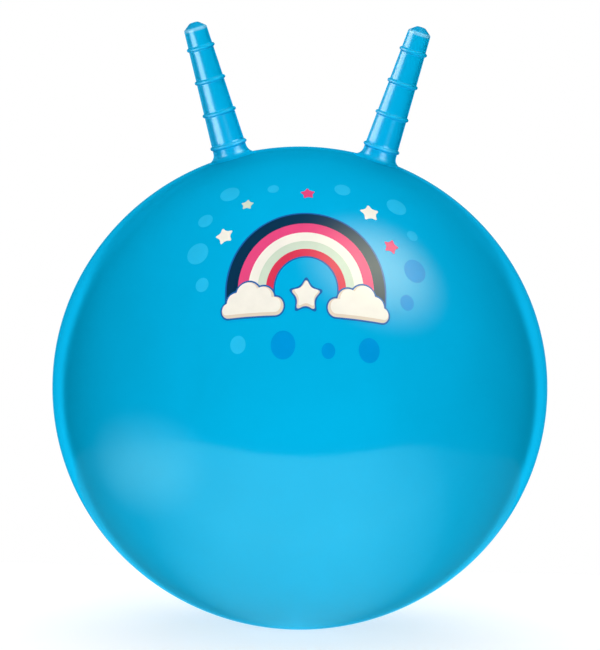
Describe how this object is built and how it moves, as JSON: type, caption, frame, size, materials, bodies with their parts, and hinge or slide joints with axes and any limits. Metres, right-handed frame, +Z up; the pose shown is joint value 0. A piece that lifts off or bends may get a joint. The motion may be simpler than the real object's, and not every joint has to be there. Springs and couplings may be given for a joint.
{
  "type": "hopper ball",
  "caption": "Inflatable ride-on bouncing ball with two flexible ringed horns to hold and a stoppered air valve at the back.",
  "frame": {"origin": "on the floor, under the middle of the ball", "axes": "+Z up; -Y is the front of the ball; the horns stand side by side along X and lean outwards; the valve faces +Y"},
  "size_m": [0.5, 0.4998, 0.6108],
  "materials": {
    "skin": "glossy soft moulded vinyl, sky blue",
    "seat": "satin soft vinyl, blue",
    "plug": "satin moulded, white"
  },
  "bodies": {
    "ball": {"ball_skin": "skin", "valve_seat": "seat", "left_horn_root": "skin", "left_horn_lower_bend": "skin", "right_horn_root": "skin", "right_horn_lower_bend": "skin"},
    "left_collar": {"left_horn_collar": "skin", "left_horn_upper_bend": "skin"},
    "left_grip": {"left_horn_grip": "skin"},
    "right_collar": {"right_horn_collar": "skin", "right_horn_upper_bend": "skin"},
    "right_grip": {"right_horn_grip": "skin"},
    "plug": {"valve_plug": "plug"}
  },
  "joints": [
    {"name": "left_horn_fore_aft", "type": "hinge", "parent": "ball", "child": "left_collar", "pos_m": [-0.08207, 0, 0.50344], "axis": [0.9563, 0, 0.2924], "range_deg": [-35, 35], "stiffness_Nm_per_rad": 6, "deforming": ["left_horn_lower_bend"]},
    {"name": "left_horn_side", "type": "hinge", "parent": "left_collar", "child": "left_grip", "pos_m": [-0.09201, 0, 0.53595], "axis": [0, -1, 0], "range_deg": [-25, 25], "stiffness_Nm_per_rad": 6, "deforming": ["left_horn_upper_bend"]},
    {"name": "right_horn_fore_aft", "type": "hinge", "parent": "ball", "child": "right_collar", "pos_m": [0.08207, 0, 0.50344], "axis": [0.9563, 0, -0.2924], "range_deg": [-35, 35], "stiffness_Nm_per_rad": 6, "deforming": ["right_horn_lower_bend"]},
    {"name": "right_horn_side", "type": "hinge", "parent": "right_collar", "child": "right_grip", "pos_m": [0.09201, 0, 0.53595], "axis": [0, 1, 0], "range_deg": [-25, 25], "stiffness_Nm_per_rad": 6, "deforming": ["right_horn_upper_bend"]},
    {"name": "valve_plug_pull", "type": "slide", "parent": "ball", "child": "plug", "axis": [0, 1, 0], "range_m": [0, 0.03]}
  ]
}
